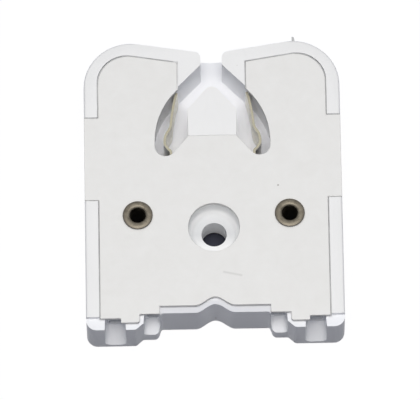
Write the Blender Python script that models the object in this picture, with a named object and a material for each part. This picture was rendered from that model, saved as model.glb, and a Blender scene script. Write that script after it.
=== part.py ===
"""Fluorescent tube lamp holder: a moulded housing, a riveted cover plate and two leaf contacts.

The holder lies on its back. +Z points out of the cover plate, towards the tube, and +Y is the end
where the tube's two pins go in. The origin is under the middle of the holder, on the surface it lies on.
"""
import math

import bmesh
import bpy
from mathutils import Vector

MM = 0.001

# The tube's base
PIN_PITCH = 12.7 * MM
PIN_DIAMETER = 2.35 * MM

# Housing, outside
WIDTH = 36.0 * MM
LENGTH = 42.9 * MM
DEPTH = 7.8 * MM
LOBE_RADIUS = 6.6 * MM
FOOT_RADIUS = 1.5 * MM
FRONT_EDGE_RADIUS = 0.3 * MM
BACK_EDGE_RADIUS = 0.6 * MM
FOOT_SLANT = 1.0 * MM
SHOULDER_WIDTH = 2.55 * MM
SHOULDER_SLANT = 0.5 * MM
SHOULDER_RISE = 0.9 * MM
STEP_OUTER_RADIUS = 0.7 * MM
STEP_INNER_RADIUS = 0.35 * MM
MIDDLE_OVERHANG = 2.25 * MM
MIDDLE_RISE = 2.35 * MM
GROOVE_WIDTH = 5.6 * MM
GROOVE_DEPTH = 1.25 * MM
BACK_DIP = 0.5 * MM

# Housing, inside
BACK_WALL = 1.2 * MM
SIDE_WALL = 2.7 * MM
LOWER_WALL = 2.4 * MM
CORE_WIDTH = 10.6 * MM
POCKET_WALL = 1.3 * MM
CHAMBER_RADIUS = 0.8 * MM
RIM = 1.85 * MM
RIM_END_RISE = 1.7 * MM

# Slot for the pins
AXIS_FROM_TOP = 14.42 * MM
THROAT_WIDTH = 3.0 * MM
LIP_DROP = 1.6 * MM
LIP_RADIUS = 0.95 * MM
LIP_LENGTH = 1.88 * MM
LIP_BLOCK_WIDTH = 9.4 * MM
LIP_BLOCK_RISE = 7.7 * MM
POCKET_PLAY = 0.225 * MM
POCKET_WALL_RADIUS = 11.0 * MM
POCKET_WIDEST_DROP = 0.6 * MM
POCKET_CORNER_RADIUS = 1.5 * MM
POCKET_CORNER_DROP = 1.3 * MM
POCKET_RAMP_ANGLE = 51.0
POCKET_UNDERCUT = 0.3 * MM
PASSAGE_WIDTH = 2.4 * MM
POST_WIDTH = 6.95 * MM
POST_BASE_WIDTH = 6.75 * MM
POST_SHOULDER_RISE = 4.15 * MM
POST_APEX_RISE = 8.2 * MM
POST_APEX_RADIUS = 1.15 * MM

# Cover plate
PLATE_THICKNESS = 0.6 * MM
PLATE_GAP = 0.15 * MM
POST_GAP = 0.1 * MM
EAR_TOP_RISE = 3.2 * MM
EAR_LENGTH = 12.65 * MM
FOOT_LEDGE = 0.8 * MM
FOOT_ENTRY_LEDGE = 1.45 * MM
SHOULDER_LEDGE = 1.15 * MM
MIDDLE_LEDGE = 0.85 * MM
TAB_WIDTH = 2.6 * MM
SHOULDER_TAB_MARGIN = 0.45 * MM
MIDDLE_TAB_MARGIN = 0.2 * MM

# Mounting screw and eyelets
SCREW_FROM_FOOT = 14.85 * MM
SCREW_BORE = 3.55 * MM
HEAD_SEAT_WIDTH = 7.2 * MM
HEAD_SEAT_DEPTH = 3.0 * MM
HEAD_SEAT_FILLET = 0.95 * MM
BACK_RELIEF_WIDTH = 6.6 * MM
BACK_RELIEF_DEPTH = 1.0 * MM
EYELET_CLEARANCE = 1.15 * MM
EYELET_RISE = 1.85 * MM
EYELET_BARREL = 3.0 * MM
EYELET_BORE = 2.15 * MM
EYELET_FLANGE = 4.2 * MM
EYELET_FLANGE_THICKNESS = 0.35 * MM
EYELET_BOSS = 5.4 * MM
EYELET_BACK_RELIEF = 5.0 * MM
EYELET_BACK_DEPTH = 0.75 * MM

# Wire entries
FUNNEL_DEPTH = 2.1 * MM
FUNNEL_CORNER_SHARE = 0.3
INNER_FUNNEL_WIDTH = 2.45 * MM
INNER_FUNNEL_FLOOR = 2.55 * MM
OUTER_FUNNEL_WIDTH = 3.0 * MM
OUTER_FUNNEL_FLOOR = 1.2 * MM
FUNNEL_TAPER = 0.3 * MM
WIRE_BORE = 1.9 * MM
WIRE_ROOF = 1.3 * MM

# Contacts; the leaf's bends are (across, along) from the hollow that a pin rests in
LEAF_THICKNESS = 0.35 * MM
LEAF_PRELOAD = 1.0 * MM
HOLLOW_DROP = 0.5 * MM
LEAF_BENDS = (
    (-1.77 * MM, 7.6 * MM),
    (-1.48 * MM, 6.6 * MM),
    (-1.15 * MM, 4.9 * MM),
    (-0.98 * MM, 3.7 * MM),
    (-0.8 * MM, 2.4 * MM),
    (-0.16 * MM, 1.25 * MM),
    (0.0, 0.0),
    (-0.42 * MM, -0.8 * MM),
    (-0.84 * MM, -1.35 * MM),
)
TAIL_OFFSET = 1.3 * MM
TAIL_LEAN = 0.65 * MM
CLAMP_LENGTH = 4.6 * MM
CLAMP_OFFSET = 0.85 * MM
TONGUE_ROOT = 1.6 * MM
TONGUE_TIP = 0.3 * MM
BAR_RISE = 5.8 * MM
BAR_BEND = 1.0 * MM

# Clearances between pieces that rest on or in each other
SEAT_GAP = 0.12 * MM
BORE_GAP = 0.2 * MM
FLANGE_GAP = 0.1 * MM
CONTACT_GAP = 0.3 * MM

# Facets
ARC_STEP = 7.5
ROLL_STEP = 45.0
TURN_STEPS = 36
BELL_STEPS = 14
PATH_STEPS = 5
EDGE_SEGMENTS = 3
EDGE_SHARE = 0.49
SHARP_ANGLE = 30.0
WELD = 0.001 * MM
LAP = 0.25 * MM
OVERCUT = 1.0 * MM

# Places that follow from the sizes above
TOP_Y = LENGTH / 2
FOOT_Y = -LENGTH / 2
MIDDLE_Y = FOOT_Y + MIDDLE_RISE
SHOULDER_Y = FOOT_Y + SHOULDER_RISE
CORE_X = CORE_WIDTH / 2
MIDDLE_X = CORE_X + MIDDLE_OVERHANG
SHOULDER_X = MIDDLE_X + SHOULDER_WIDTH
INNER_ENTRY_X = (MIDDLE_X + SHOULDER_X) / 2
OUTER_ENTRY_X = WIDTH / 2 - SIDE_WALL - CONTACT_GAP - LEAF_THICKNESS / 2 - CLAMP_OFFSET
AXIS_Y = TOP_Y - AXIS_FROM_TOP
SCREW_Y = FOOT_Y + SCREW_FROM_FOOT
TAIL_X = CORE_X + TAIL_OFFSET
EYELET_X = TAIL_X + LEAF_THICKNESS / 2 + EYELET_CLEARANCE + EYELET_BOSS / 2
EYELET_Y = SCREW_Y + EYELET_RISE
SEAT_Z = DEPTH - PLATE_THICKNESS - SEAT_GAP
WIRE_Z = SEAT_Z - WIRE_ROOF - WIRE_BORE / 2
LOBE_CENTRE_X = WIDTH / 2 - LOBE_RADIUS
CROWN_SLOPE = math.atan2(LIP_DROP, LOBE_CENTRE_X - THROAT_WIDTH / 2)
POCKET_HALF = PIN_PITCH / 2 + PIN_DIAMETER / 2 + LEAF_THICKNESS + POCKET_PLAY
POCKET_ARC_X = POCKET_HALF - POCKET_WALL_RADIUS
POCKET_ARC_Y = AXIS_Y - POCKET_WIDEST_DROP
POCKET_CORNER_X = POCKET_HALF - POCKET_CORNER_RADIUS
POCKET_CORNER_Y = AXIS_Y - POCKET_CORNER_DROP
CHAMBER_ROOF_Y = POCKET_CORNER_Y - POCKET_CORNER_RADIUS - POCKET_WALL
CHAMBER_FLOOR_Y = MIDDLE_Y + LOWER_WALL

# Materials: colour, roughness, metallic
WHITE_MOULDING = ("white_moulding", (0.83, 0.83, 0.83), 0.4, 0.0)
PLATE_CARD = ("plate_card", (0.78, 0.77, 0.75), 0.6, 0.0)
EYELET_METAL = ("eyelet_metal", (0.42, 0.37, 0.29), 0.42, 1.0)
CONTACT_BRONZE = ("contact_bronze", (0.62, 0.53, 0.36), 0.35, 1.0)


def clear_scene():
    for thing in list(bpy.data.objects):
        bpy.data.objects.remove(thing, do_unlink=True)


def arc(centre, radius, start, end, step_angle=ARC_STEP):
    """Points on an arc, angles in degrees, both ends included."""
    count = max(1, math.ceil(abs(end - start) / step_angle))
    angles = [math.radians(start + (end - start) * step / count) for step in range(count + 1)]
    return [(centre[0] + radius * math.cos(a), centre[1] + radius * math.sin(a)) for a in angles]


def fillet(before, corner, after, radius):
    """The corner between two straight edges, rounded to the radius that its edges have room for."""
    corner = Vector(corner)
    to_before = Vector(before) - corner
    to_after = Vector(after) - corner
    half_angle = to_before.angle(to_after) / 2
    room = min(to_before.length, to_after.length) * EDGE_SHARE
    reach = min(radius / math.tan(half_angle), room)
    radius = reach * math.tan(half_angle)
    to_before.normalize()
    to_after.normalize()
    centre = corner + (to_before + to_after).normalized() * radius / math.sin(half_angle)
    first = corner + to_before * reach - centre
    last = corner + to_after * reach - centre
    start = math.degrees(math.atan2(first.y, first.x))
    sweep = (math.degrees(math.atan2(last.y, last.x)) - start + 180.0) % 360.0 - 180.0
    return arc(centre, radius, start, start + sweep)


def rounded(corners):
    """An open outline from (x, y) and (x, y, radius) corners."""
    points = []
    for index, corner in enumerate(corners):
        if len(corner) == 2:
            points.append(corner)
        else:
            before = corners[index - 1][:2]
            after = corners[index + 1][:2]
            points.extend(fillet(before, corner[:2], after, corner[2]))
    return points


def mirrored(half):
    """A whole outline from its right half, which runs from the middle of the bottom up to the top."""
    left = [(-x, y) for x, y in reversed(half) if x > WELD]
    return half + left


def bell(depth, width, base_y):
    """The right half of a smooth groove in an edge, from its middle outwards."""
    steps = [index / BELL_STEPS for index in range(BELL_STEPS + 1)]
    return [(width / 2 * s, base_y + depth * (1 + math.cos(math.pi * s)) / 2) for s in steps]


def crown_y(x, inset):
    """Height of the lobes' sloping top at x, moved in by inset."""
    drop = (LOBE_CENTRE_X - x) * math.tan(CROWN_SLOPE)
    return TOP_Y - drop - inset / math.cos(CROWN_SLOPE)


def pocket_edge(undercut):
    """The right pocket's wall, from the post's base round the pocket's bottom and up to the lip."""
    corner = (POCKET_CORNER_X, POCKET_CORNER_Y)
    points = arc(corner, POCKET_CORNER_RADIUS, 270.0 - POCKET_RAMP_ANGLE, 360.0)
    ramp_x, ramp_y = points[0]
    base_x = POST_BASE_WIDTH / 2
    base_y = ramp_y + (ramp_x - base_x) * math.tan(math.radians(POCKET_RAMP_ANGLE))
    lip_x = LIP_BLOCK_WIDTH / 2 + PLATE_GAP
    radius = POCKET_WALL_RADIUS + undercut
    lip_angle = math.degrees(math.acos((lip_x - POCKET_ARC_X) / radius))
    wall = arc((POCKET_ARC_X, POCKET_ARC_Y), radius, 0.0, lip_angle)
    return [(base_x, base_y)] + points + wall


def post_base_y():
    return pocket_edge(0.0)[0][1]


def prism(name, outline, low, high, low_radius=0.0, high_radius=0.0):
    """A straight-sided solid on a flat outline, with the edges of its two ends rounded where asked."""
    shape = bmesh.new()
    face = shape.faces.new([shape.verts.new((x, y, low)) for x, y in outline])
    grown = bmesh.ops.extrude_face_region(shape, geom=[face])
    lifted = [item for item in grown["geom"] if isinstance(item, bmesh.types.BMVert)]
    bmesh.ops.translate(shape, verts=lifted, vec=(0, 0, high - low))
    bmesh.ops.recalc_face_normals(shape, faces=shape.faces)
    for level, radius in ((low, low_radius), (high, high_radius)):
        if radius > 0:
            rim = [e for e in shape.edges if all(abs(v.co.z - level) < WELD for v in e.verts)]
            bmesh.ops.bevel(shape, geom=rim, offset=radius, segments=EDGE_SEGMENTS, profile=0.5,
                            affect="EDGES")
    return finish_mesh(name, shape)


def finish_mesh(name, shape):
    mesh = bpy.data.meshes.new(name)
    shape.to_mesh(mesh)
    shape.free()
    thing = bpy.data.objects.new(name, mesh)
    bpy.context.collection.objects.link(thing)
    return thing


def turned(name, profile, closed=False):
    """A solid turned round its own Z axis from (radius, z) points."""
    shape = bmesh.new()
    verts = [shape.verts.new((radius, 0.0, z)) for radius, z in profile]
    pairs = list(zip(verts, verts[1:]))
    if closed:
        pairs.append((verts[-1], verts[0]))
    edges = [shape.edges.new(pair) for pair in pairs]
    bmesh.ops.spin(shape, geom=verts + edges, cent=(0, 0, 0), axis=(0, 0, 1), angle=2 * math.pi,
                   steps=TURN_STEPS, use_merge=True, use_duplicate=False)
    bmesh.ops.remove_doubles(shape, verts=shape.verts, dist=WELD)
    bmesh.ops.recalc_face_normals(shape, faces=shape.faces)
    return finish_mesh(name, shape)


def rod(name, radius, low, high):
    return turned(name, [(0.0, low), (radius, low), (radius, high), (0.0, high)])


def loft(name, near, far):
    """A solid between two outlines of as many points, given as (x, y, z)."""
    shape = bmesh.new()
    near_verts = [shape.verts.new(point) for point in near]
    far_verts = [shape.verts.new(point) for point in far]
    shape.faces.new(near_verts)
    shape.faces.new(list(reversed(far_verts)))
    count = len(near)
    for index in range(count):
        after = (index + 1) % count
        shape.faces.new((near_verts[index], far_verts[index], far_verts[after], near_verts[after]))
    bmesh.ops.recalc_face_normals(shape, faces=shape.faces)
    return finish_mesh(name, shape)


def cut(body, cutter):
    combine(body, cutter, "DIFFERENCE")


def weld(body, addition):
    combine(body, addition, "UNION")


def combine(body, other, operation):
    """Boolean the other solid into the body, then take the other one away."""
    step = body.modifiers.new(operation.lower(), "BOOLEAN")
    step.operation = operation
    step.solver = "EXACT"
    step.object = other
    bpy.context.view_layer.update()
    evaluated = body.evaluated_get(bpy.context.evaluated_depsgraph_get())
    result = bpy.data.meshes.new_from_object(evaluated)
    body.modifiers.clear()
    body.data = result
    bpy.data.objects.remove(other, do_unlink=True)


def dress(thing, finish):
    """Give the piece its material and smooth its round faces."""
    name, colour, roughness, metallic = finish
    material = bpy.data.materials.get(name) or bpy.data.materials.new(name)
    material.use_nodes = True
    shader = material.node_tree.nodes["Principled BSDF"]
    shader.inputs["Base Color"].default_value = (*colour, 1.0)
    shader.inputs["Roughness"].default_value = roughness
    shader.inputs["Metallic"].default_value = metallic
    thing.data.materials.clear()
    thing.data.materials.append(material)
    thing.data.shade_smooth()
    thing.data.set_sharp_from_angle(angle=math.radians(SHARP_ANGLE))


def housing_outline():
    half = bell(GROOVE_DEPTH, GROOVE_WIDTH, MIDDLE_Y)
    half += rounded([
        half[-1],
        (MIDDLE_X, MIDDLE_Y, STEP_INNER_RADIUS),
        (MIDDLE_X + SHOULDER_SLANT, SHOULDER_Y, STEP_OUTER_RADIUS),
        (SHOULDER_X, SHOULDER_Y, STEP_INNER_RADIUS),
        (SHOULDER_X + FOOT_SLANT, FOOT_Y, STEP_OUTER_RADIUS),
        (WIDTH / 2, FOOT_Y, FOOT_RADIUS),
        (WIDTH / 2, TOP_Y),
    ])[1:-1]
    half += arc((LOBE_CENTRE_X, TOP_Y - LOBE_RADIUS), LOBE_RADIUS, 0.0, 90.0)
    half.append((0.0, TOP_Y - BACK_DIP))
    return mirrored(half)


def slot_outline():
    """Everything that is open to the tube's pins, the post's place included."""
    half = [(0.0, post_base_y())] + pocket_edge(POCKET_UNDERCUT)
    half.append((LIP_BLOCK_WIDTH / 2, AXIS_Y + LIP_BLOCK_RISE))
    throat_x = THROAT_WIDTH / 2
    lip_y = crown_y(throat_x, 0.0)
    half += rounded([
        (throat_x, lip_y - LIP_LENGTH),
        (throat_x, lip_y, LIP_RADIUS),
        (LOBE_CENTRE_X, TOP_Y),
        (LOBE_CENTRE_X, TOP_Y + OVERCUT),
        (0.0, TOP_Y + OVERCUT),
    ])
    return mirrored(half)


def seat_outline():
    """The recess that the cover plate lies in, open at both sides and at the lower end."""
    rim_x = WIDTH / 2 - RIM
    beyond_x = WIDTH / 2 + OVERCUT
    ear_top = AXIS_Y + EAR_TOP_RISE
    ear_low = ear_top - EAR_LENGTH
    block_x = LIP_BLOCK_WIDTH / 2
    inner_y = AXIS_Y + POST_SHOULDER_RISE
    half = rounded([
        (0.0, FOOT_Y - OVERCUT),
        (beyond_x, FOOT_Y - OVERCUT),
        (beyond_x, FOOT_Y + RIM_END_RISE),
        (rim_x, FOOT_Y + RIM_END_RISE),
        (rim_x, ear_low),
        (beyond_x, ear_low),
        (beyond_x, ear_top),
        (rim_x, ear_top),
        (rim_x, crown_y(rim_x, RIM), LOBE_RADIUS - RIM),
        (block_x, crown_y(block_x, RIM)),
        (block_x, inner_y),
        (0.0, inner_y),
    ])
    return mirrored(half)


def plate_outline():
    """The cover plate: ears at the sides, stepped lower edge, notched round the slot."""
    rim_x = WIDTH / 2 - RIM - PLATE_GAP
    ear_top = AXIS_Y + EAR_TOP_RISE - PLATE_GAP
    ear_low = AXIS_Y + EAR_TOP_RISE - EAR_LENGTH + PLATE_GAP
    block_x = LIP_BLOCK_WIDTH / 2 + PLATE_GAP
    inset = RIM + PLATE_GAP
    middle_x = MIDDLE_X + MIDDLE_TAB_MARGIN
    shoulder_x = SHOULDER_X + SHOULDER_TAB_MARGIN
    tab_x = shoulder_x + TAB_WIDTH
    half = bell(GROOVE_DEPTH, GROOVE_WIDTH, MIDDLE_Y + MIDDLE_LEDGE)
    half += rounded([
        half[-1],
        (middle_x, MIDDLE_Y + MIDDLE_LEDGE),
        (middle_x, SHOULDER_Y + SHOULDER_LEDGE),
        (shoulder_x, SHOULDER_Y + SHOULDER_LEDGE),
        (shoulder_x, FOOT_Y + FOOT_LEDGE, STEP_INNER_RADIUS),
        (tab_x, FOOT_Y + FOOT_LEDGE),
        (tab_x, FOOT_Y + FOOT_ENTRY_LEDGE),
        (rim_x, FOOT_Y + FOOT_ENTRY_LEDGE),
        (rim_x, ear_low),
        (WIDTH / 2, ear_low),
        (WIDTH / 2, ear_top),
        (rim_x, ear_top),
        (rim_x, crown_y(rim_x, inset), LOBE_RADIUS - inset),
        (block_x, crown_y(block_x, inset)),
    ])[1:]
    half += reversed(pocket_edge(0.0))
    base_x, base_y = half.pop()
    half += [(base_x, base_y - POST_GAP), (0.0, base_y - POST_GAP)]
    return mirrored(half)


def chamber_outline(side):
    """The hollow under the plate on one side, which holds a contact."""
    outer_x = WIDTH / 2 - SIDE_WALL
    roof_y = TOP_Y - SIDE_WALL
    wall_radius = POCKET_WALL_RADIUS + POCKET_UNDERCUT + POCKET_WALL
    block_x = LIP_BLOCK_WIDTH / 2 + POCKET_WALL
    wall_angle = math.degrees(math.acos((block_x - POCKET_ARC_X) / wall_radius))
    wall = arc((POCKET_ARC_X, POCKET_ARC_Y), wall_radius, wall_angle, 0.0)
    points = rounded([
        (CORE_X, CHAMBER_FLOOR_Y),
        (outer_x, CHAMBER_FLOOR_Y, CHAMBER_RADIUS),
        (outer_x, roof_y, LOBE_RADIUS - SIDE_WALL),
        (LOBE_CENTRE_X, roof_y),
        (block_x, crown_y(block_x, SIDE_WALL)),
    ])
    points += wall
    points += rounded([
        (POCKET_HALF + POCKET_WALL, POCKET_CORNER_Y),
        (POCKET_HALF + POCKET_WALL, CHAMBER_ROOF_Y, CHAMBER_RADIUS),
        (CORE_X, CHAMBER_ROOF_Y),
    ])
    return [(side * x, y) for x, y in points]


def post_outline():
    """The house-shaped post that the pins pass on either side."""
    base_y = post_base_y()
    shoulder_y = AXIS_Y + POST_SHOULDER_RISE
    apex_y = AXIS_Y + POST_APEX_RISE
    roof = [(POST_WIDTH / 2, shoulder_y), (0.0, apex_y), (-POST_WIDTH / 2, shoulder_y)]
    return [
        (-POST_BASE_WIDTH / 2, base_y - POST_GAP / 2),
        (POST_BASE_WIDTH / 2, base_y - POST_GAP / 2),
        roof[0],
        *fillet(*roof, POST_APEX_RADIUS),
        roof[2],
    ]


def funnel_section(x, y, width, floor_z):
    """A U-shaped section across a wire entry, open towards the front."""
    half = width / 2
    radius = width * FUNNEL_CORNER_SHARE
    bottom = arc((x - half + radius, floor_z + radius), radius, 180.0, 270.0)
    bottom += arc((x + half - radius, floor_z + radius), radius, 270.0, 360.0)
    outline = [(x - half, DEPTH + OVERCUT)] + bottom + [(x + half, DEPTH + OVERCUT)]
    return [(px, y, pz) for px, pz in outline]


def cut_wire_entry(body, x, face_y, width, floor_z):
    """A sloping trough in the lower end, and the bore from it into the chamber."""
    throat_z = WIRE_Z - WIRE_BORE / 2 - SEAT_GAP
    slope = (throat_z - floor_z) / FUNNEL_DEPTH
    mouth = funnel_section(x, face_y - LAP, width, floor_z - slope * LAP)
    throat = funnel_section(x, face_y + FUNNEL_DEPTH, width - FUNNEL_TAPER, throat_z)
    cut(body, loft("funnel", mouth, throat))
    start_y = face_y + FUNNEL_DEPTH - LAP
    bore = rod("wire_bore", WIRE_BORE / 2, 0.0, CHAMBER_FLOOR_Y + OVERCUT - start_y)
    bore.rotation_euler = (-math.pi / 2, 0.0, 0.0)
    bore.location = (x, start_y, WIRE_Z)
    cut(body, bore)


def screw_cutter():
    """Head seat, bore and back relief of the mounting screw, as one turned shape."""
    seat_z = DEPTH - HEAD_SEAT_DEPTH
    fillet_centre = (HEAD_SEAT_WIDTH / 2 - HEAD_SEAT_FILLET, seat_z + HEAD_SEAT_FILLET)
    cutter = turned("screw_cutter", [
        (0.0, DEPTH + OVERCUT),
        (HEAD_SEAT_WIDTH / 2, DEPTH + OVERCUT),
        *arc(fillet_centre, HEAD_SEAT_FILLET, 0.0, -90.0, ROLL_STEP / 2),
        (SCREW_BORE / 2, seat_z),
        (SCREW_BORE / 2, BACK_RELIEF_DEPTH),
        (BACK_RELIEF_WIDTH / 2, BACK_RELIEF_DEPTH),
        (BACK_RELIEF_WIDTH / 2, -OVERCUT),
        (0.0, -OVERCUT),
    ])
    cutter.location = (0.0, SCREW_Y, 0.0)
    return cutter


def eyelet_cutter(side):
    """The bore for an eyelet and the relief for its rolled end at the back."""
    radius = EYELET_BARREL / 2 + BORE_GAP
    cutter = turned("eyelet_cutter", [
        (0.0, DEPTH + OVERCUT),
        (radius, DEPTH + OVERCUT),
        (radius, EYELET_BACK_DEPTH),
        (EYELET_BACK_RELIEF / 2, EYELET_BACK_DEPTH),
        (EYELET_BACK_RELIEF / 2, -OVERCUT),
        (0.0, -OVERCUT),
    ])
    cutter.location = (side * EYELET_X, EYELET_Y, 0.0)
    return cutter


def passage_outline(side):
    """The gap in the pocket's bottom that a contact's leaf comes through."""
    low_x = CORE_X - PLATE_GAP
    high_x = low_x + PASSAGE_WIDTH
    low_y = CHAMBER_ROOF_Y - LAP
    high_y = POCKET_CORNER_Y - POCKET_CORNER_RADIUS / 2
    corners = [(low_x, low_y), (high_x, low_y), (high_x, high_y), (low_x, high_y)]
    return [(side * x, y) for x, y in corners]


def make_housing():
    body = prism("housing", housing_outline(), 0.0, DEPTH, BACK_EDGE_RADIUS, FRONT_EDGE_RADIUS)
    above = DEPTH + OVERCUT
    for side in (-1, 1):
        cut(body, prism("chamber", chamber_outline(side), BACK_WALL, above))
        boss = rod("boss", EYELET_BOSS / 2, BACK_WALL / 2, DEPTH)
        boss.location = (side * EYELET_X, EYELET_Y, 0.0)
        weld(body, boss)
    cut(body, prism("plate_seat", seat_outline(), SEAT_Z, above))
    cut(body, prism("slot", slot_outline(), BACK_WALL, above))
    weld(body, prism("post", post_outline(), BACK_WALL / 2, DEPTH))
    cut(body, screw_cutter())
    for side in (-1, 1):
        cut(body, prism("passage", passage_outline(side), BACK_WALL, above))
        cut(body, eyelet_cutter(side))
        cut_wire_entry(body, side * INNER_ENTRY_X, SHOULDER_Y, INNER_FUNNEL_WIDTH, INNER_FUNNEL_FLOOR)
        cut_wire_entry(body, side * OUTER_ENTRY_X, FOOT_Y, OUTER_FUNNEL_WIDTH, OUTER_FUNNEL_FLOOR)
    dress(body, WHITE_MOULDING)


def make_face_plate():
    plate = prism("face_plate", plate_outline(), DEPTH - PLATE_THICKNESS, DEPTH)
    holes = [(0.0, SCREW_Y, HEAD_SEAT_WIDTH / 2)]
    for side in (-1, 1):
        holes.append((side * EYELET_X, EYELET_Y, EYELET_BARREL / 2 + BORE_GAP))
    for x, y, radius in holes:
        hole = rod("hole", radius, 0.0, DEPTH + OVERCUT)
        hole.location = (x, y, 0.0)
        cut(plate, hole)
    dress(plate, PLATE_CARD)


def make_eyelet(name, side):
    """A tubular rivet: a rolled flange on the plate, a barrel and a rolled end in the back relief."""
    barrel = EYELET_BARREL / 2
    bore = EYELET_BORE / 2
    flange = EYELET_FLANGE / 2
    thick = EYELET_FLANGE_THICKNESS
    under = DEPTH + FLANGE_GAP
    top = under + thick
    end = EYELET_BACK_DEPTH - SEAT_GAP
    heel = end - thick
    roll = thick / 2
    outer_edge = arc((flange - roll, under + roll), roll, -90.0, 90.0, ROLL_STEP)
    mouth = arc((bore + thick, top - thick), thick, 90.0, 180.0, ROLL_STEP / 2)
    lower_mouth = arc((bore + roll, heel + roll), roll, 180.0, 270.0, ROLL_STEP)
    lower_edge = arc((flange - roll, end - roll), roll, -90.0, 90.0, ROLL_STEP)
    profile = [(barrel, under)] + outer_edge + mouth + lower_mouth + lower_edge + [(barrel, end)]
    eyelet = turned(name, profile, closed=True)
    eyelet.location = (side * EYELET_X, EYELET_Y, 0.0)
    dress(eyelet, EYELET_METAL)


def smooth_path(knots):
    """A smooth curve through the knots."""
    padded = [knots[0]] + knots + [knots[-1]]
    points = []
    for p0, p1, p2, p3 in zip(padded, padded[1:], padded[2:], padded[3:]):
        for step in range(PATH_STEPS):
            t = step / PATH_STEPS
            point = (2 * p1 + (p2 - p0) * t + (2 * p0 - 5 * p1 + 4 * p2 - p3) * t ** 2
                     + (3 * p1 - p0 - 3 * p2 + p3) * t ** 3) / 2
            points.append(point)
    return points + [knots[-1]]


def strip(name, path, side):
    """A bent metal strip that stands on edge along the path."""
    half = LEAF_THICKNESS / 2
    left = []
    right = []
    for index, point in enumerate(path):
        before = path[max(index - 1, 0)]
        after = path[min(index + 1, len(path) - 1)]
        along = (after - before).normalized()
        across = Vector((-along.y, along.x)) * half
        left.append(point + across)
        right.append(point - across)
    outline = [(side * p.x, p.y) for p in left + list(reversed(right))]
    return prism(name, outline, BACK_WALL + CONTACT_GAP, SEAT_Z - CONTACT_GAP)


def contact_path(bar_y):
    """The strip's run on the right side, from its free end beside the lip down to the outer clamp."""
    hollow_x = (PIN_PITCH + PIN_DIAMETER + LEAF_THICKNESS) / 2 - LEAF_PRELOAD
    hollow = Vector((hollow_x, AXIS_Y - HOLLOW_DROP))
    spring = [hollow + Vector(offset) for offset in LEAF_BENDS]
    run = CHAMBER_ROOF_Y - POCKET_WALL - bar_y
    tail = [
        Vector((TAIL_X - TAIL_LEAN, CHAMBER_ROOF_Y + POCKET_WALL / 2)),
        Vector((TAIL_X - TAIL_LEAN / 2, CHAMBER_ROOF_Y - POCKET_WALL)),
        Vector((TAIL_X, bar_y + run * 2 / 3)),
        Vector((TAIL_X, bar_y + run / 3)),
        Vector((TAIL_X, bar_y + BAR_BEND)),
        Vector((TAIL_X + BAR_BEND / 3, bar_y + BAR_BEND / 3)),
        Vector((TAIL_X + BAR_BEND, bar_y)),
        Vector((TAIL_X + BAR_BEND * 2, bar_y)),
    ]
    return smooth_path(spring + tail) + [Vector((OUTER_ENTRY_X + CLAMP_OFFSET, bar_y))]


def make_contact(name, side):
    """One bent strip: the leaf beside the post, its tail, and two push-in wire clamps."""
    bar_y = CHAMBER_FLOOR_Y + BAR_RISE
    contact = strip(name, contact_path(bar_y), side)
    for entry_x in (INNER_ENTRY_X, OUTER_ENTRY_X):
        foot_y = bar_y - CLAMP_LENGTH
        anvil_x = entry_x + CLAMP_OFFSET
        anvil = [Vector((anvil_x, bar_y)), Vector((anvil_x, foot_y))]
        weld(contact, strip("anvil", anvil, side))
        root = Vector((entry_x - TONGUE_ROOT, bar_y))
        tip = Vector((entry_x + TONGUE_TIP, foot_y + LEAF_THICKNESS))
        weld(contact, strip("tongue", [root, tip], side))
    dress(contact, CONTACT_BRONZE)


def main():
    clear_scene()
    make_housing()
    make_face_plate()
    for word, side in (("left", -1), ("right", 1)):
        make_eyelet("eyelet_" + word, side)
        make_contact("contact_" + word, side)


main()
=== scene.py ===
"""Looks of the lamp holder: materials, fine edges, small marks, floor, light and camera."""
import math

import bmesh
import bpy
from mathutils import Matrix, Vector


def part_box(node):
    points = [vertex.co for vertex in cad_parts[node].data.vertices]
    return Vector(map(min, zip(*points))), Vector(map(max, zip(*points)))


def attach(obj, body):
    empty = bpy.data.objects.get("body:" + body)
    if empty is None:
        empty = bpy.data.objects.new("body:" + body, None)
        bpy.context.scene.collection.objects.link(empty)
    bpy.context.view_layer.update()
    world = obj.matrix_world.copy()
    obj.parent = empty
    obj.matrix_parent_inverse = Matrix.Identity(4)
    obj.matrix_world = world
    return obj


MM = 0.001

# Camera: the photograph's angle, distance, scale and roll
CAMERA_ELEVATION = 68.4
CAMERA_DISTANCE = 1.0
CAMERA_ROLL = -1.0
CAMERA_TARGET = (-0.49 * MM, -2.55 * MM, 7.8 * MM)
CAMERA_CLIP = (0.05, 20.0)
SENSOR_WIDTH = 36.0
IMAGE_WIDTH_PX = 420.0
PX_PER_MM = 7.15

# Edges
SOFT_EDGE = 0.1 * MM
PLATE_EDGE = 0.12 * MM
EDGE_SEGMENTS = 2
PLANAR_ANGLE = 1.0
EDGE_ANGLE = 35.0
WELD_DISTANCE = 0.001 * MM
SMOOTH_ANGLE = 32.0

# Light: a lamp overhead, and a world that is brightest overhead and falls off towards the horizon
LAMP_DISTANCE = 0.8
LAMP_SIZE = 0.48
LAMP_COLOUR = (1.0, 0.975, 0.925)
LAMP_POWER = 4.32
LAMP_LEAN = 8.0
AMBIENT_OVERHEAD = 0.6
AMBIENT_HORIZON = 0.02
AMBIENT_RISE = 2.0
AMBIENT_COLOUR = (0.78, 0.85, 1.0)
WHITE = (1.0, 1.0, 1.0)

# Floor: white to the camera and dark to the object, with its own part below the object
FLOOR_HALF = 4.0
FLOOR_DROP = 0.03 * MM
FOOTPRINT_HALF = (14.0 * MM, 12.0 * MM)
FLOOR_COLOUR = (0.03, 0.035, 0.07)
FLOOR_GLOW = (1.0, 0.996, 0.98)
FLOOR_LIFT = 0.98
FLOOR_ROUGHNESS = 0.9
COVERED_COLOUR = (0.03, 0.032, 0.05)
GRID_LINES = 4
MIDDLE_FACE = 4

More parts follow.
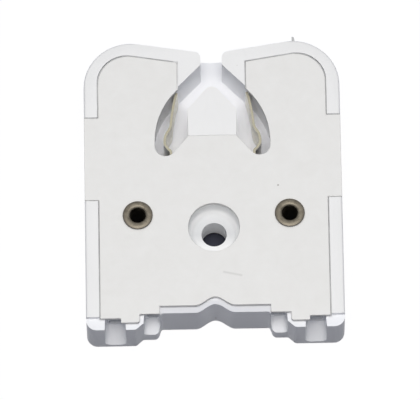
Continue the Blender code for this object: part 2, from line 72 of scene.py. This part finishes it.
# Places on the plate, in millimetres; those of a pair are the right one's
EYELET_PLACE = (10.625, -4.75)
SCREW_PLACE = (0.0, -6.6)
CORNER_PLACE = (5.05, 13.8)
SPECK_PLACE = (9.07, -0.47)
PASSAGE_X = 6.35
SCRATCH_START = (1.3, -13.35)
SCRATCH_END = (3.7, -13.88)
SCRATCH_HALF_WIDTH = 0.24

# Areas: rows of a measure, its value where the area begins to fade in, and its value where it is full
LEVEL = ("up", 0.6, 0.95)
FRONT_FACE = (("up", 0.5, 0.9), ("z", 7.4, 7.7))
SCREW_SEAT = (("from_screw", 4.0, 3.8),)
SCREW_BORE = (("z", 4.9, 4.6),)
# The next five areas carry painted shade on the moulding
SEAT_FLOOR = (LEVEL, ("from_screw", 3.6, 3.1), ("z", 4.5, 4.75), ("y", -8.8, -6.6))
END_LEDGE = (LEVEL, ("across", 7.8, 7.6), ("y", -17.0, -17.5), ("z", 7.4, 7.2))
SLOT_FLOOR = (LEVEL, ("across", 3.2, 3.8), ("y", 3.0, 3.5), ("y", 14.5, 13.5), ("z", 3.0, 2.5))
LEAF_PASSAGE = (("from_passage", 0.85, 0.55), ("y", 6.3, 5.4), ("y", 3.0, 3.5), ("z", 7.2, 6.6))
LIP_CORNER = (("from_corner", 0.9, 0.3), ("z", 7.5, 7.0), ("z", 3.5, 4.5))
CUT_EDGE = (("up", 0.8, 0.3),)
PLATE_SPECK = (("from_speck", 0.16, 0.08),)
LEAF_OUTSIDE = (("outward", 0.0, 0.4),)
LEAF_TOP = (("up", 0.5, 0.9),)
# Where painted shade darkens the leaves below their bends
SHADED_BEND = (("y", 6.4, 5.0), ("z", 6.7, 6.4))
BY_LEFT_LIP = (("from_lip", 0.6, 0.3),)
BY_POST = (("from_post", 0.5, 0.3),)

# Moulding
# The recesses are painted lighter and bluer than the front faces: painted bluish bounce light
INNER_PAINTED_BOUNCE = (0.94, 0.945, 0.97)
FRONT_COLOUR = (0.92, 0.915, 0.907)
SEAT_COLOUR = (0.91, 0.91, 0.905)
# The screw bore's walls are painted lighter than the seat: painted light
BORE_PAINTED_LIGHT = (0.97, 0.968, 0.965)
# Painted shade, near black, in the leaf passages and the lip corners
DEEP_PAINTED_SHADE = (0.4, 0.39, 0.38)
# Painted shade: the screw seat's floor, the end ledge and the slot floor darkened and tinted blue, and the
# leaf passages and lip corners darkened
PAINTED_SHADE_AREAS = (
    (SEAT_FLOOR, (0.74, 0.748, 0.76)),
    (END_LEDGE, (0.81, 0.81, 0.82)),
    (SLOT_FLOOR, (0.9, 0.9, 0.91)),
    (LEAF_PASSAGE, DEEP_PAINTED_SHADE),
    (LIP_CORNER, DEEP_PAINTED_SHADE),
)
CLOUD_TINT = (0.985, 0.985, 0.985)
FLOW_TINT = (0.95, 0.95, 0.945)
FLOW_STRETCH = (1.0, 0.25, 1.0)
FLOW_SPAN = (0.52, 0.75)
FLOW_STRENGTH = 0.35
MOULDING_SPECK_COLOUR = (0.58, 0.56, 0.53)
MOULDING_ROUGHNESS = (0.36, 0.52)
WAVE_SHARE = 1.5

# Plate
PLATE_COLOURS = ((0.845, 0.834, 0.81), (0.876, 0.867, 0.846))
FIBRE_COLOUR = (0.81, 0.8, 0.78)
FIBRE_STRETCH = (1.0, 3.0, 1.0)
FIBRE_SPAN = (0.55, 0.8)
FIBRE_STRENGTH = 0.35
CUT_COLOUR = (0.8, 0.79, 0.77)
SCRATCH_COLOUR = (0.6, 0.59, 0.57)
SCRATCH_STRENGTH = 0.6
SCRATCH_SINK = -0.5
SPECK_COLOUR = (0.42, 0.4, 0.37)
PLATE_SPECKS_COLOUR = (0.55, 0.53, 0.5)
PLATE_ROUGHNESS = (0.5, 0.66)

# Eyelets
NICKEL_COLOURS = ((0.11, 0.098, 0.078), (0.165, 0.148, 0.12))
NICKEL_ROUGHNESS = (0.34, 0.55)
# Painted shade: a dark band round the flange's edge, where it meets the plate
FLANGE_RIM = (1.78, 2.08)
FLANGE_SHADE_STRENGTH = 0.75
FLANGE_PAINTED_SHADE = (0.09, 0.08, 0.07)

# Contacts
BRONZE_COLOURS = ((0.66, 0.64, 0.57), (0.78, 0.76, 0.69))
BRONZE_STAIN_SPAN = (0.35, 0.7)
# The leaves' outward faces are painted pale: painted light in the pocket beside each leaf
BRONZE_OUTSIDE_PAINTED_LIGHT = (0.9, 0.89, 0.86)
# The leaves' top edges are painted dark: painted shade that tones down the lamp's reflection on them
BRONZE_TOP_PAINTED_SHADE = (0.3, 0.285, 0.225)
# Painted shade, near black, on the leaves below their bends
BRONZE_PAINTED_SHADE = (0.12, 0.11, 0.1)
BRONZE_ROUGHNESS = (0.34, 0.5)
ROLLED_STRETCH = (1.0, 1.0, 9.0)

# Dust
DUST_COLOURS = ((0.5, 0.5, 0.49), (0.66, 0.66, 0.65))
PACKED_COLOUR = (0.9, 0.895, 0.885)
DUST_ROUGHNESS = 0.85

# Textures that several materials share
PATCH_SPAN = (0.35, 0.65)
WIDE_SPAN = (0.3, 0.7)
FULL_METAL = 1.0
SPECK_CORE = 0.6

# The colour sockets of the Mix node, which has sockets of its own for each type of data
COLOUR_SOCKETS = (6, 7)
COLOUR_RESULT = 2

# The joint between plate and rim; places in millimetres
JOINT_WIDTH = 0.15 * MM
LEFT_LIP_X = -4.85
POST_JOINT_Y = 7.3
RIM_JOINT_X = (15.0, 17.4)
LOBE_JOINT_FROM = (10.0, 11.0)
LIP_JOINT_FROM = (4.5, 14.2)
POST_JOINT_HALF = 3.5
POST_JOINT_SPAN = (7.0, 7.5)
DUST_RADIUS = 0.07 * MM
DUST_DEPTH = 0.1 * MM
LEVEL_NORMAL = 0.9
UPRIGHT_NORMAL = 0.5

# The sliver of flash on the right lobe; places in millimetres
BURR_BASE = (11.6, 21.3, 7.1)
BURR_TIP = (11.55, 22.2, 7.2)
BURR_BEND = 0.05
BURR_RADIUS = 0.24
BURR_TAPER = 0.4
BURR_FLATNESS = 0.6
BURR_RINGS = 6
BURR_SIDES = 10


def new_material(name):
    material = bpy.data.materials.new(name)
    material.use_nodes = True
    tree = material.node_tree
    tree.nodes.clear()
    output = tree.nodes.new("ShaderNodeOutputMaterial")
    shader = tree.nodes.new("ShaderNodeBsdfPrincipled")
    tree.links.new(shader.outputs["BSDF"], output.inputs["Surface"])
    return material, tree, shader


def node(tree, kind, inputs=None, **settings):
    made = tree.nodes.new(kind)
    for key, value in settings.items():
        setattr(made, key, value)
    for key, value in (inputs or {}).items():
        if isinstance(value, bpy.types.NodeSocket):
            tree.links.new(value, made.inputs[key])
        else:
            made.inputs[key].default_value = value
    return made


def maths(tree, operation, first, second=0.0, third=0.0):
    return node(tree, "ShaderNodeMath", {0: first, 1: second, 2: third}, operation=operation).outputs[0]


def product(tree, *factors):
    result = factors[0]
    for factor in factors[1:]:
        result = maths(tree, "MULTIPLY", result, factor)
    return result


def gap_between(tree, first, second):
    return maths(tree, "ABSOLUTE", maths(tree, "SUBTRACT", first, second))


def vector_maths(tree, operation, first, second=(0.0, 0.0, 0.0)):
    return node(tree, "ShaderNodeVectorMath", {0: first, 1: second}, operation=operation)


def place_mm(tree):
    """The shared frame's coordinates in millimetres."""
    coord = node(tree, "ShaderNodeTexCoord")
    return vector_maths(tree, "MULTIPLY", coord.outputs["Object"], (1 / MM,) * 3).outputs[0]


def split(tree, vector):
    return node(tree, "ShaderNodeSeparateXYZ", {0: vector}).outputs


def noise(tree, place, scale, detail=3.0, roughness=0.5, distortion=0.0):
    made = node(tree, "ShaderNodeTexNoise", {
        "Vector": place, "Scale": scale, "Detail": detail, "Roughness": roughness, "Distortion": distortion,
    })
    return made.outputs["Fac"]


def stretched(tree, place, factors):
    return vector_maths(tree, "MULTIPLY", place, factors).outputs[0]


def remap(tree, value, low, high, to_low=0.0, to_high=1.0):
    made = node(tree, "ShaderNodeMapRange", {
        "Value": value, "From Min": low, "From Max": high, "To Min": to_low, "To Max": to_high,
    }, clamp=True)
    return made.outputs["Result"]


def area(tree, measures, rows):
    """1 inside an area, 0 outside it."""
    return product(tree, *(remap(tree, measures[name], begins, full) for name, begins, full in rows))


def mix(tree, factor, first, second, blend="MIX"):
    """One of two colours, or the blend of both; a colour is a socket or three numbers."""
    inputs = {0: factor}
    for key, value in zip(COLOUR_SOCKETS, (first, second)):
        inputs[key] = value if isinstance(value, bpy.types.NodeSocket) else (*value, 1)
    mixer = node(tree, "ShaderNodeMix", inputs, data_type="RGBA", blend_type=blend)
    return mixer.outputs[COLOUR_RESULT]


def bump(tree, shader, height, strength, distance_mm):
    inputs = {"Strength": strength, "Distance": distance_mm * MM, "Height": height}
    made = node(tree, "ShaderNodeBump", inputs)
    tree.links.new(made.outputs["Normal"], shader.inputs["Normal"])


def specks(tree, place, scale, share, size):
    """Sparse small dots: 1 inside one, 0 elsewhere."""
    cells = node(tree, "ShaderNodeTexVoronoi", {"Vector": place, "Scale": scale})
    chosen = maths(tree, "LESS_THAN", split(tree, cells.outputs["Color"])["X"], share)
    near = remap(tree, cells.outputs["Distance"], size, size * SPECK_CORE)
    return product(tree, chosen, near)


def distance_from(tree, place, centre):
    """Distance in millimetres from an upright line through a point of the plate."""
    flat = stretched(tree, place, (1.0, 1.0, 0.0))
    return vector_maths(tree, "DISTANCE", flat, (*centre, 0.0)).outputs["Value"]


def all_measures(tree, place):
    """What areas are told apart by: places and distances in millimetres, and where a face looks."""
    x, y, z = split(tree, place)
    across = maths(tree, "ABSOLUTE", x)
    mirrored = node(tree, "ShaderNodeCombineXYZ", {0: across, 1: y}).outputs[0]
    normal = split(tree, node(tree, "ShaderNodeNewGeometry").outputs["Normal"])
    return {
        "y": y,
        "z": z,
        "across": across,
        "up": normal["Z"],
        "outward": product(tree, normal["X"], maths(tree, "SIGN", x)),
        "from_screw": distance_from(tree, place, SCREW_PLACE),
        "from_speck": distance_from(tree, place, SPECK_PLACE),
        "from_eyelet": distance_from(tree, mirrored, EYELET_PLACE),
        "from_corner": distance_from(tree, mirrored, CORNER_PLACE),
        "from_passage": gap_between(tree, across, PASSAGE_X),
        "from_lip": gap_between(tree, x, LEFT_LIP_X),
        "from_post": gap_between(tree, y, POST_JOINT_Y),
    }


def scratch_mark(tree, place):
    """1 in the middle of the plate's scratch, fading to 0 at its sides."""
    run = Vector((*SCRATCH_END, 0.0)) - Vector((*SCRATCH_START, 0.0))
    flat = stretched(tree, place, (1.0, 1.0, 0.0))
    offset = vector_maths(tree, "SUBTRACT", flat, (*SCRATCH_START, 0.0)).outputs[0]
    along = vector_maths(tree, "DOT_PRODUCT", offset, tuple(run / run.length_squared)).outputs["Value"]
    along = node(tree, "ShaderNodeClamp", {"Value": along}).outputs[0]
    inputs = {"Vector": tuple(run), "Scale": along}
    foot = node(tree, "ShaderNodeVectorMath", inputs, operation="SCALE").outputs[0]
    away = vector_maths(tree, "DISTANCE", offset, foot).outputs["Value"]
    return remap(tree, away, SCRATCH_HALF_WIDTH, 0.0)


def moulding():
    """White moulding compound: satin, with faint flow clouds, a fine grain and a little dust; painted bluish
    bounce light in the recesses, painted light in the screw bore, and painted shade in the screw seat, on
    the end ledge, on the slot floor, in the leaf passages and in the lip corners.
    """
    material, tree, shader = new_material("moulding")
    place = place_mm(tree)
    measures = all_measures(tree, place)
    # Painted bluish bounce light: the recesses lighter and bluer than the front faces
    base = mix(tree, area(tree, measures, FRONT_FACE), INNER_PAINTED_BOUNCE, FRONT_COLOUR)
    # Painted light on the screw bore's walls
    by_screw = mix(tree, area(tree, measures, SCREW_BORE), SEAT_COLOUR, BORE_PAINTED_LIGHT)
    base = mix(tree, area(tree, measures, SCREW_SEAT), base, by_screw)
    # Painted shade in the screw seat, on the end ledge, on the slot floor, in the leaf passages and in the
    # lip corners
    for rows, tint in PAINTED_SHADE_AREAS:
        base = mix(tree, area(tree, measures, rows), base, tint, "MULTIPLY")
    cloud = noise(tree, place, scale=0.22, detail=4.0, roughness=0.55)
    base = mix(tree, remap(tree, cloud, *PATCH_SPAN), base, CLOUD_TINT, "MULTIPLY")
    drawn = stretched(tree, place, FLOW_STRETCH)
    flow = noise(tree, drawn, scale=0.9, detail=4.0, roughness=0.6, distortion=0.8)
    flow = remap(tree, flow, *FLOW_SPAN, to_high=FLOW_STRENGTH)
    base = mix(tree, flow, base, FLOW_TINT, "MULTIPLY")
    dots = specks(tree, place, scale=0.55, share=0.05, size=0.1)
    base = mix(tree, dots, base, MOULDING_SPECK_COLOUR)
    tree.links.new(base, shader.inputs["Base Color"])
    polish = remap(tree, noise(tree, place, scale=2.2), *WIDE_SPAN, *MOULDING_ROUGHNESS)
    tree.links.new(polish, shader.inputs["Roughness"])
    wave = noise(tree, place, scale=0.8, detail=2.0)
    height = maths(tree, "MULTIPLY_ADD", wave, WAVE_SHARE, noise(tree, place, scale=9.0))
    bump(tree, shader, height, strength=0.25, distance_mm=0.02)
    return material


def card():
    """The plate's pressed sheet: a warm white with mottling, a scratch, a speck and duller cut edges."""
    material, tree, shader = new_material("plate")
    place = place_mm(tree)
    measures = all_measures(tree, place)
    cloud = noise(tree, place, scale=0.45, detail=5.0, roughness=0.62, distortion=0.4)
    base = mix(tree, remap(tree, cloud, *WIDE_SPAN), *PLATE_COLOURS)
    drawn = stretched(tree, place, FIBRE_STRETCH)
    fibre = noise(tree, drawn, scale=2.6, detail=5.0, roughness=0.7, distortion=0.6)
    base = mix(tree, remap(tree, fibre, *FIBRE_SPAN, to_high=FIBRE_STRENGTH), base, FIBRE_COLOUR)
    base = mix(tree, area(tree, measures, CUT_EDGE), base, CUT_COLOUR)
    scratch = scratch_mark(tree, place)
    base = mix(tree, product(tree, scratch, SCRATCH_STRENGTH), base, SCRATCH_COLOUR)
    base = mix(tree, area(tree, measures, PLATE_SPECK), base, SPECK_COLOUR)
    base = mix(tree, specks(tree, place, scale=0.5, share=0.08, size=0.07), base, PLATE_SPECKS_COLOUR)
    tree.links.new(base, shader.inputs["Base Color"])
    tree.links.new(remap(tree, fibre, *WIDE_SPAN, *PLATE_ROUGHNESS), shader.inputs["Roughness"])
    grain = noise(tree, place, scale=6.0, detail=4.0, roughness=0.65)
    height = maths(tree, "MULTIPLY_ADD", scratch, SCRATCH_SINK, grain)
    bump(tree, shader, height, strength=0.3, distance_mm=0.02)
    return material


def eyelet_metal():
    """Dull nickel: turned rings, stains, and painted shade in a dark line where the flange meets the plate.
    """
    material, tree, shader = new_material("eyelet")
    place = place_mm(tree)
    measures = all_measures(tree, place)
    radius = measures["from_eyelet"]
    stain = noise(tree, place, scale=1.6, detail=4.0, roughness=0.6)
    base = mix(tree, remap(tree, stain, *PATCH_SPAN), *NICKEL_COLOURS)
    # Painted shade round the flange's edge
    rim = remap(tree, radius, *FLANGE_RIM, to_high=FLANGE_SHADE_STRENGTH)
    base = mix(tree, rim, base, FLANGE_PAINTED_SHADE)
    tree.links.new(base, shader.inputs["Base Color"])
    shader.inputs["Metallic"].default_value = FULL_METAL
    tree.links.new(remap(tree, stain, *WIDE_SPAN, *NICKEL_ROUGHNESS), shader.inputs["Roughness"])
    turned = node(tree, "ShaderNodeCombineXYZ", {0: radius, 1: measures["z"]}).outputs[0]
    bump(tree, shader, noise(tree, turned, scale=14.0, detail=2.0), strength=0.4, distance_mm=0.02)
    return material


def bronze():
    """Rolled bronze, dulled: lines along it and stains, with painted light on the pale outsides, painted
    shade on the dark tops, and painted shade, near black, below the bends.
    """
    material, tree, shader = new_material("contact")
    place = place_mm(tree)
    measures = all_measures(tree, place)
    stain = noise(tree, place, scale=0.9, detail=4.0, roughness=0.6)
    base = mix(tree, remap(tree, stain, *BRONZE_STAIN_SPAN), *BRONZE_COLOURS)
    # Painted light on the outward faces
    base = mix(tree, area(tree, measures, LEAF_OUTSIDE), base, BRONZE_OUTSIDE_PAINTED_LIGHT)
    # Painted shade on the top edges
    base = mix(tree, area(tree, measures, LEAF_TOP), base, BRONZE_TOP_PAINTED_SHADE)
    # Painted shade below the bends
    base = mix(tree, area(tree, measures, SHADED_BEND), base, BRONZE_PAINTED_SHADE)
    tree.links.new(base, shader.inputs["Base Color"])
    shader.inputs["Metallic"].default_value = FULL_METAL
    rolled = noise(tree, stretched(tree, place, ROLLED_STRETCH), scale=2.0)
    tree.links.new(remap(tree, rolled, *WIDE_SPAN, *BRONZE_ROUGHNESS), shader.inputs["Roughness"])
    bump(tree, shader, rolled, strength=0.25, distance_mm=0.02)
    return material


def dust():
    """Dust and flash: matt pale grey, whiter where it is packed by the left lip and the post."""
    material, tree, shader = new_material("dust")
    place = place_mm(tree)
    measures = all_measures(tree, place)
    patches = noise(tree, place, scale=0.7, detail=4.0, roughness=0.6)
    base = mix(tree, remap(tree, patches, *PATCH_SPAN), *DUST_COLOURS)
    packed = maths(tree, "MAXIMUM", area(tree, measures, BY_LEFT_LIP), area(tree, measures, BY_POST))
    base = mix(tree, packed, base, PACKED_COLOUR)
    tree.links.new(base, shader.inputs["Base Color"])
    shader.inputs["Roughness"].default_value = DUST_ROUGHNESS
    bump(tree, shader, noise(tree, place, scale=12.0), strength=0.4, distance_mm=0.03)
    return material


def dress(name, material):
    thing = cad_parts[name]
    for slot in thing.material_slots:
        slot.material = material
    return thing


def weld_and_smooth():
    """Joins a node's loose triangles into one surface, smooth over its curves and sharp at its edges."""
    tree = bpy.data.node_groups.new("weld_and_smooth", "GeometryNodeTree")
    tree.interface.new_socket("Geometry", in_out="INPUT", socket_type="NodeSocketGeometry")
    tree.interface.new_socket("Geometry", in_out="OUTPUT", socket_type="NodeSocketGeometry")
    source = tree.nodes.new("NodeGroupInput").outputs[0]
    inputs = {"Geometry": source, "Distance": WELD_DISTANCE}
    welded = node(tree, "GeometryNodeMergeByDistance", inputs).outputs[0]
    angle = node(tree, "GeometryNodeInputMeshEdgeAngle").outputs["Unsigned Angle"]
    sharp = maths(tree, "GREATER_THAN", angle, math.radians(SMOOTH_ANGLE))
    normals = node(tree, "GeometryNodeSetMeshNormal", {
        "Mesh": welded, "Remove Custom": True, "Edge Sharpness": sharp, "Face Sharpness": False,
    }, mode="SHARPNESS")
    tree.links.new(normals.outputs[0], tree.nodes.new("NodeGroupOutput").inputs[0])
    return tree


def smooth(thing):
    thing.modifiers.new("smooth", "NODES").node_group = smooth_tree


def soften(thing, width):
    """Rounds the node's sharp edges a little, after its flat faces are joined."""
    smooth(thing)
    planar = thing.modifiers.new("planar", "DECIMATE")
    planar.decimate_type = "DISSOLVE"
    planar.angle_limit = math.radians(PLANAR_ANGLE)
    bevel = thing.modifiers.new("edge", "BEVEL")
    bevel.width = width
    bevel.segments = EDGE_SEGMENTS
    bevel.limit_method = "ANGLE"
    bevel.angle_limit = math.radians(EDGE_ANGLE)
    bevel.use_clamp_overlap = True
    bevel.harden_normals = True


def add_piece(name, data, material):
    """Puts a piece of the moulding's dust or flash into the scene, riding on the body."""
    data.materials.append(material)
    piece = bpy.data.objects.new(name, data)
    bpy.context.collection.objects.link(piece)
    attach(piece, "root")


def upper_outlines(thing):
    """Closed outlines of the node's upper face, each a list of points in order."""
    mesh = bmesh.new()
    mesh.from_mesh(thing.data)
    bmesh.ops.remove_doubles(mesh, verts=mesh.verts, dist=WELD_DISTANCE)
    mesh.normal_update()
    after = {}
    for face in mesh.faces:
        if face.normal.z < LEVEL_NORMAL:
            continue
        for loop in face.loops:
            if any(abs(other.normal.z) < UPRIGHT_NORMAL for other in loop.edge.link_faces):
                after[loop.vert.co.copy().freeze()] = loop.link_loop_next.vert.co.copy().freeze()
    mesh.free()
    outlines = []
    while after:
        point = next(iter(after))
        outline = []
        while point in after:
            outline.append(point)
            point = after.pop(point)
        outlines.append(outline)
    return outlines


def outward(before, point, after, distance):
    """The point moved off the plate by a distance, square to the outline there."""
    first = (point - before).normalized()
    second = (after - point).normalized()
    sides = [Vector((run.y, -run.x, 0.0)) for run in (first, second)]
    return point + (sides[0] + sides[1]) * distance / (1.0 + sides[0].dot(sides[1]))


def in_joint(point):
    """Whether the plate meets the rim, a lip or the post here, and not an open edge."""
    x, y = abs(point.x) / MM, point.y / MM
    beside_rim = RIM_JOINT_X[0] < x < RIM_JOINT_X[1]
    beside_lobe = x > LOBE_JOINT_FROM[0] and y > LOBE_JOINT_FROM[1]
    beside_lip = x > LIP_JOINT_FROM[0] and y > LIP_JOINT_FROM[1]
    beside_post = x < POST_JOINT_HALF and POST_JOINT_SPAN[0] < y < POST_JOINT_SPAN[1]
    return beside_rim or beside_lobe or beside_lip or beside_post


def runs_in_joint(outline):
    """The stretches of an outline that lie in the joint, moved to the middle of its gap."""
    count = len(outline)
    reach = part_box("face_plate")[1][0]
    placed = []
    kept = []
    for i, point in enumerate(outline):
        after = outline[(i + 1) % count]
        centre = outward(outline[i - 1], point, after, JOINT_WIDTH / 2)
        centre.x = max(-reach, min(reach, centre.x))
        placed.append(centre - Vector((0.0, 0.0, DUST_DEPTH)))
        kept.append(in_joint((point + after) / 2))
    start = kept.index(False)
    runs = []
    for i in range(start + 1, start + count):
        if kept[i % count]:
            if not kept[(i - 1) % count]:
                runs.append([placed[i % count]])
            runs[-1].append(placed[(i + 1) % count])
    return runs


def make_joint_dust(material):
    """Pale dust that has settled in the joint round the plate, as thin closed beads."""
    curve = bpy.data.curves.new("joint_dust", "CURVE")
    curve.dimensions = "3D"
    curve.bevel_depth = DUST_RADIUS
    curve.bevel_resolution = 1
    curve.use_fill_caps = True
    for outline in upper_outlines(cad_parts["face_plate"]):
        for run in runs_in_joint(outline):
            spline = curve.splines.new("POLY")
            spline.points.add(len(run) - 1)
            for target, point in zip(spline.points, run):
                target.co = (*point, 1.0)
    add_piece("joint_dust", curve, material)


def make_burr(material):
    """A sliver of flash left on the right lobe's top edge, tapering and slightly bent."""
    base = Vector(BURR_BASE) * MM
    tip = Vector(BURR_TIP) * MM
    mesh = bmesh.new()
    rings = []
    for i in range(BURR_RINGS + 1):
        share = i / BURR_RINGS
        centre = base.lerp(tip, share) + Vector((BURR_BEND * MM * math.sin(math.pi * share), 0.0, 0.0))
        radius = BURR_RADIUS * MM * (1.0 - BURR_TAPER * share)
        ring = []
        for j in range(BURR_SIDES):
            turn = 2 * math.pi * j / BURR_SIDES
            side = Vector((math.sin(turn), 0.0, BURR_FLATNESS * math.cos(turn)))
            ring.append(mesh.verts.new(centre + side * radius))
        rings.append(ring)
    for low, high in zip(rings, rings[1:]):
        for j in range(BURR_SIDES):
            k = (j + 1) % BURR_SIDES
            mesh.faces.new((low[j], low[k], high[k], high[j]))
    mesh.faces.new(rings[0][::-1])
    mesh.faces.new(rings[-1])
    bmesh.ops.recalc_face_normals(mesh, faces=mesh.faces)
    data = bpy.data.meshes.new("burr")
    mesh.to_mesh(data)
    mesh.free()
    data.shade_smooth()
    add_piece("burr", data, material)


def white_to_camera(tree, low, high=1.0):
    """Strength that is high where the camera, a gloss or glass looks, and low for the light on things."""
    path = node(tree, "ShaderNodeLightPath").outputs
    seen = maths(tree, "MAXIMUM", path["Is Camera Ray"], path["Is Glossy Ray"])
    seen = maths(tree, "MAXIMUM", seen, path["Is Transmission Ray"])
    return remap(tree, seen, 0.0, 1.0, low, high)


def floor_material(name, colour):
    material, tree, shader = new_material(name)
    shader.inputs["Base Color"].default_value = (*colour, 1)
    shader.inputs["Roughness"].default_value = FLOOR_ROUGHNESS
    return material, tree, shader


def make_floor():
    open_floor, tree, shader = floor_material("floor_open", FLOOR_COLOUR)
    shader.inputs["Specular IOR Level"].default_value = 0.0
    shader.inputs["Emission Color"].default_value = (*FLOOR_GLOW, 1)
    tree.links.new(white_to_camera(tree, 0.0, FLOOR_LIFT), shader.inputs["Emission Strength"])
    covered = floor_material("floor_covered", COVERED_COLOUR)[0]

    xs = (-FLOOR_HALF, -FOOTPRINT_HALF[0], FOOTPRINT_HALF[0], FLOOR_HALF)
    ys = (-FLOOR_HALF, -FOOTPRINT_HALF[1], FOOTPRINT_HALF[1], FLOOR_HALF)
    verts = [(x, y, -FLOOR_DROP) for y in ys for x in xs]
    cells = range(GRID_LINES - 1)
    corners = [row * GRID_LINES + column for row in cells for column in cells]
    faces = [(c, c + 1, c + GRID_LINES + 1, c + GRID_LINES) for c in corners]
    mesh = bpy.data.meshes.new("floor")
    mesh.from_pydata(verts, [], faces)
    mesh.materials.append(open_floor)
    mesh.materials.append(covered)
    mesh.polygons[MIDDLE_FACE].material_index = 1
    floor = bpy.data.objects.new("floor", mesh)
    bpy.context.collection.objects.link(floor)


def make_world():
    world = bpy.data.worlds.new("studio")
    bpy.context.scene.world = world
    world.use_nodes = True
    tree = world.node_tree
    background = tree.nodes["Background"]
    sky = node(tree, "ShaderNodeTexCoord").outputs["Generated"]
    upward = remap(tree, split(tree, sky)["Z"], 0.0, 1.0)
    rise = maths(tree, "POWER", upward, AMBIENT_RISE)
    level = remap(tree, rise, 0.0, 1.0, AMBIENT_HORIZON, AMBIENT_OVERHEAD)
    tree.links.new(white_to_camera(tree, level), background.inputs["Strength"])
    tint = mix(tree, white_to_camera(tree, 0.0), AMBIENT_COLOUR, WHITE)
    tree.links.new(tint, background.inputs["Color"])


def make_lamp():
    """A round soft lamp over the object, leaning a little towards the camera."""
    light = bpy.data.lights.new("overhead", "AREA")
    light.shape = "DISK"
    light.size = LAMP_SIZE
    light.energy = LAMP_POWER
    light.color = LAMP_COLOUR
    lamp = bpy.data.objects.new("overhead", light)
    lamp.rotation_euler = (math.radians(LAMP_LEAN), 0.0, 0.0)
    lamp.location = lamp.rotation_euler.to_matrix() @ Vector((0.0, 0.0, LAMP_DISTANCE))
    bpy.context.collection.objects.link(lamp)


def make_camera():
    data = bpy.data.cameras.new("camera")
    data.sensor_width = SENSOR_WIDTH
    data.lens = SENSOR_WIDTH * CAMERA_DISTANCE * PX_PER_MM / (IMAGE_WIDTH_PX * MM)
    data.clip_start, data.clip_end = CAMERA_CLIP
    camera = bpy.data.objects.new("camera", data)
    elevation = math.radians(CAMERA_ELEVATION)
    back = Vector((0.0, -math.cos(elevation), math.sin(elevation)))
    camera.rotation_mode = "QUATERNION"
    roll = Matrix.Rotation(math.radians(CAMERA_ROLL), 3, "Z").to_quaternion()
    camera.rotation_quaternion = (-back).to_track_quat("-Z", "Y") @ roll
    camera.location = Vector(CAMERA_TARGET) + back * CAMERA_DISTANCE
    bpy.context.collection.objects.link(camera)
    bpy.context.scene.camera = camera


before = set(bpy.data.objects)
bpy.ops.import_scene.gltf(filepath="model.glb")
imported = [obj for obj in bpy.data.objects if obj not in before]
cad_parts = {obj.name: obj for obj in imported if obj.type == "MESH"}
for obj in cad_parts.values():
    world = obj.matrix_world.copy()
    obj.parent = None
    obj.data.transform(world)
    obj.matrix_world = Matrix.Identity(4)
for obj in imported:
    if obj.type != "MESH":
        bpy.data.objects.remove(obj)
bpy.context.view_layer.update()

smooth_tree = weld_and_smooth()
bronze_material = bronze()
eyelet_material = eyelet_metal()
soften(dress("housing", moulding()), SOFT_EDGE)
soften(dress("face_plate", card()), PLATE_EDGE)
for side in ("left", "right"):
    smooth(dress("eyelet_" + side, eyelet_material))
    smooth(dress("contact_" + side, bronze_material))

dust_material = dust()
make_joint_dust(dust_material)
make_burr(dust_material)
make_floor()
make_world()
make_lamp()
make_camera()
bpy.context.scene.view_settings.view_transform = "Standard"
